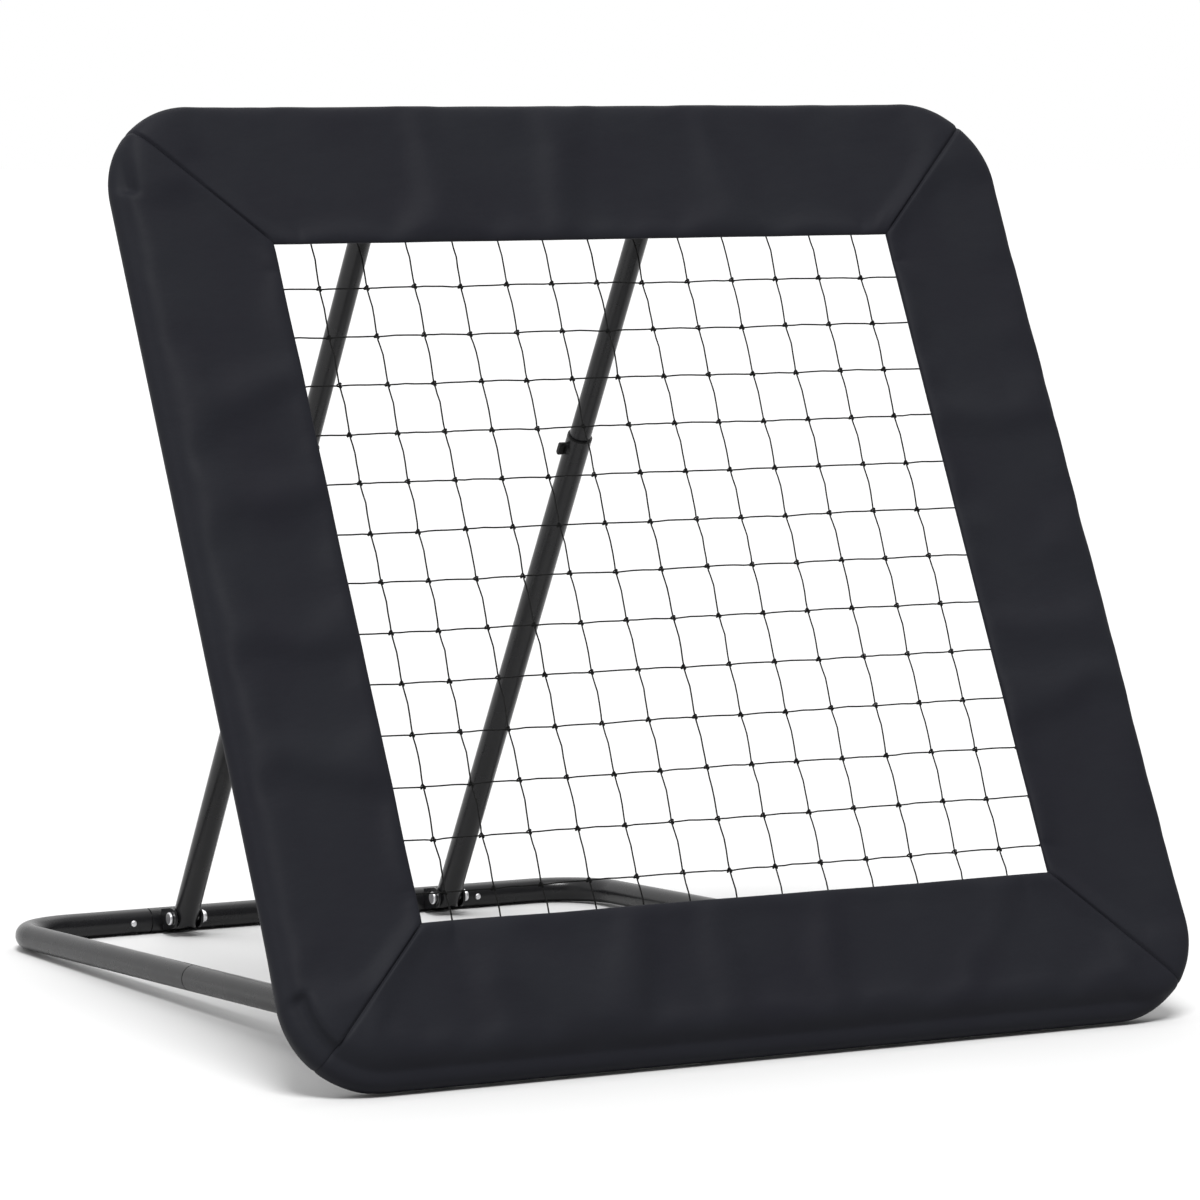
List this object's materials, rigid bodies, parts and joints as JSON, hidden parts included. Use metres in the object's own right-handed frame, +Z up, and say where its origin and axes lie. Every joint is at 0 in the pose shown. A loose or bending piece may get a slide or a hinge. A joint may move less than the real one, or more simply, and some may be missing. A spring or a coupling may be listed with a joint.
{
  "type": "pitch back rebounder",
  "caption": "Padded square ball rebounder net on a tilting tubular frame, propped from a floor base by two telescopic legs with lock screws.",
  "frame": {"origin": "on the floor, midway across and midway between the front of the pad's lower roll and the back of the rear bar", "axes": "+X to the right seen from the front, +Y to the back, +Z up; the net faces -Y and leans back"},
  "size_m": [0.96, 1.0048, 0.8669],
  "materials": {
    "black_powder_coat": "satin black powder coat on steel tube and plate",
    "zinc_fasteners": "bright zinc plate",
    "spring_steel": "plain spring steel",
    "black_plastic": "moulded black nylon",
    "cover_vinyl": "matte charcoal coated polyester",
    "pad_foam": "closed-cell foam sheet",
    "net_twine": "black braided twine",
    "elastic_cord": "black sleeved elastic cord"
  },
  "bodies": {
    "base": {"rear_bar": "black_powder_coat", "left_corner_tube": "black_powder_coat", "right_corner_tube": "black_powder_coat", "left_base_arm": "black_powder_coat", "right_base_arm": "black_powder_coat", "left_foot_bracket": "black_powder_coat", "right_foot_bracket": "black_powder_coat", "leg_foot_bolts": "zinc_fasteners", "leg_foot_nuts": "zinc_fasteners", "base_snap_springs": "spring_steel"},
    "net_frame": {"frame_tube_top_left": "black_powder_coat", "frame_tube_bottom_left": "black_powder_coat", "frame_tube_bottom_right": "black_powder_coat", "frame_tube_top_right": "black_powder_coat", "frame_snap_springs": "spring_steel", "left_hanger_bracket": "black_powder_coat", "right_hanger_bracket": "black_powder_coat", "left_hinge_bracket": "black_powder_coat", "right_hinge_bracket": "black_powder_coat", "hanger_bolts": "zinc_fasteners", "hanger_nuts": "zinc_fasteners", "hinge_bolts": "zinc_fasteners", "hinge_nuts": "zinc_fasteners", "net": "net_twine", "border_rope": "net_twine", "elastic_loops": "elastic_cord", "pad_cover_top": "cover_vinyl", "pad_cover_left": "cover_vinyl", "pad_cover_bottom": "cover_vinyl", "pad_cover_right": "cover_vinyl", "pad_foam_top": "pad_foam", "pad_foam_left": "pad_foam", "pad_foam_bottom": "pad_foam", "pad_foam_right": "pad_foam"},
    "left_lower_leg": {"left_leg_lower_tube": "black_powder_coat", "left_leg_bush": "black_plastic", "left_lock_boss": "black_powder_coat"},
    "left_upper_leg": {"left_leg_upper_tube": "black_powder_coat"},
    "left_lock": {"left_lock_screw": "black_plastic"},
    "right_lower_leg": {"right_leg_lower_tube": "black_powder_coat", "right_leg_bush": "black_plastic", "right_lock_boss": "black_powder_coat"},
    "right_upper_leg": {"right_leg_upper_tube": "black_powder_coat"},
    "right_lock": {"right_lock_screw": "black_plastic"},
    "left_rear_snap_button": {"left_rear_snap_button": "zinc_fasteners"},
    "left_arm_snap_button": {"left_arm_snap_button": "zinc_fasteners"},
    "right_rear_snap_button": {"right_rear_snap_button": "zinc_fasteners"},
    "right_arm_snap_button": {"right_arm_snap_button": "zinc_fasteners"},
    "top_frame_snap_button": {"top_frame_snap_button": "zinc_fasteners"},
    "left_frame_snap_button": {"left_frame_snap_button": "zinc_fasteners"},
    "bottom_frame_snap_button": {"bottom_frame_snap_button": "zinc_fasteners"},
    "right_frame_snap_button": {"right_frame_snap_button": "zinc_fasteners"}
  },
  "joints": [
    {"name": "frame_tilt", "type": "hinge", "parent": "base", "child": "net_frame", "pos_m": [0, -0.45138, 0.04585], "axis": [-1, 0, 0], "range_deg": [-6, 16]},
    {"name": "left_leg_swing", "type": "hinge", "parent": "base", "child": "left_lower_leg", "pos_m": [-0.1545, 0.45344, 0.019], "axis": [-1, 0, 0], "range_deg": [-3.1, 8.1]},
    {"name": "left_leg_slide", "type": "slide", "parent": "left_lower_leg", "child": "left_upper_leg", "axis": [0, -0.5011, 0.8654], "range_m": [-0.225, 0.086]},
    {"name": "left_lock_turn", "type": "hinge", "parent": "left_lower_leg", "child": "left_lock", "pos_m": [-0.1745, 0.16431, 0.51833], "axis": [-1, 0, 0], "range_deg": [0, 360]},
    {"name": "right_leg_swing", "type": "hinge", "parent": "base", "child": "right_lower_leg", "pos_m": [0.1545, 0.45344, 0.019], "axis": [-1, 0, 0], "range_deg": [-3.1, 8.1]},
    {"name": "right_leg_slide", "type": "slide", "parent": "right_lower_leg", "child": "right_upper_leg", "axis": [0, -0.5011, 0.8654], "range_m": [-0.225, 0.086]},
    {"name": "right_lock_turn", "type": "hinge", "parent": "right_lower_leg", "child": "right_lock", "pos_m": [0.1345, 0.16431, 0.51833], "axis": [-1, 0, 0], "range_deg": [0, 360]},
    {"name": "left_rear_button_press", "type": "slide", "parent": "base", "child": "left_rear_snap_button", "axis": [0, 1, 0], "range_m": [0, 0.003], "stiffness_N_per_m": 400, "springref_m": -0.003},
    {"name": "left_arm_button_press", "type": "slide", "parent": "base", "child": "left_arm_snap_button", "axis": [-1, 0, 0], "range_m": [0, 0.003], "stiffness_N_per_m": 400, "springref_m": -0.003},
    {"name": "right_rear_button_press", "type": "slide", "parent": "base", "child": "right_rear_snap_button", "axis": [0, 1, 0], "range_m": [0, 0.003], "stiffness_N_per_m": 400, "springref_m": -0.003},
    {"name": "right_arm_button_press", "type": "slide", "parent": "base", "child": "right_arm_snap_button", "axis": [1, 0, 0], "range_m": [0, 0.003], "stiffness_N_per_m": 400, "springref_m": -0.003},
    {"name": "top_frame_button_press", "type": "slide", "parent": "net_frame", "child": "top_frame_snap_button", "axis": [0, -0.8949, 0.4462], "range_m": [0, 0.003], "stiffness_N_per_m": 400, "springref_m": -0.003},
    {"name": "left_frame_button_press", "type": "slide", "parent": "net_frame", "child": "left_frame_snap_button", "axis": [0, -0.8949, 0.4462], "range_m": [0, 0.003], "stiffness_N_per_m": 400, "springref_m": -0.003},
    {"name": "bottom_frame_button_press", "type": "slide", "parent": "net_frame", "child": "bottom_frame_snap_button", "axis": [0, -0.8949, 0.4462], "range_m": [0, 0.003], "stiffness_N_per_m": 400, "springref_m": -0.003},
    {"name": "right_frame_button_press", "type": "slide", "parent": "net_frame", "child": "right_frame_snap_button", "axis": [0, -0.8949, 0.4462], "range_m": [0, 0.003], "stiffness_N_per_m": 400, "springref_m": -0.003}
  ],
  "couplings": [
    {"joint": "left_leg_swing", "follows": "frame_tilt", "ratio": 0.5},
    {"joint": "left_leg_slide", "follows": "frame_tilt", "m_per_rad": -0.79},
    {"joint": "right_leg_swing", "follows": "frame_tilt", "ratio": 0.5},
    {"joint": "right_leg_slide", "follows": "frame_tilt", "m_per_rad": -0.79}
  ]
}
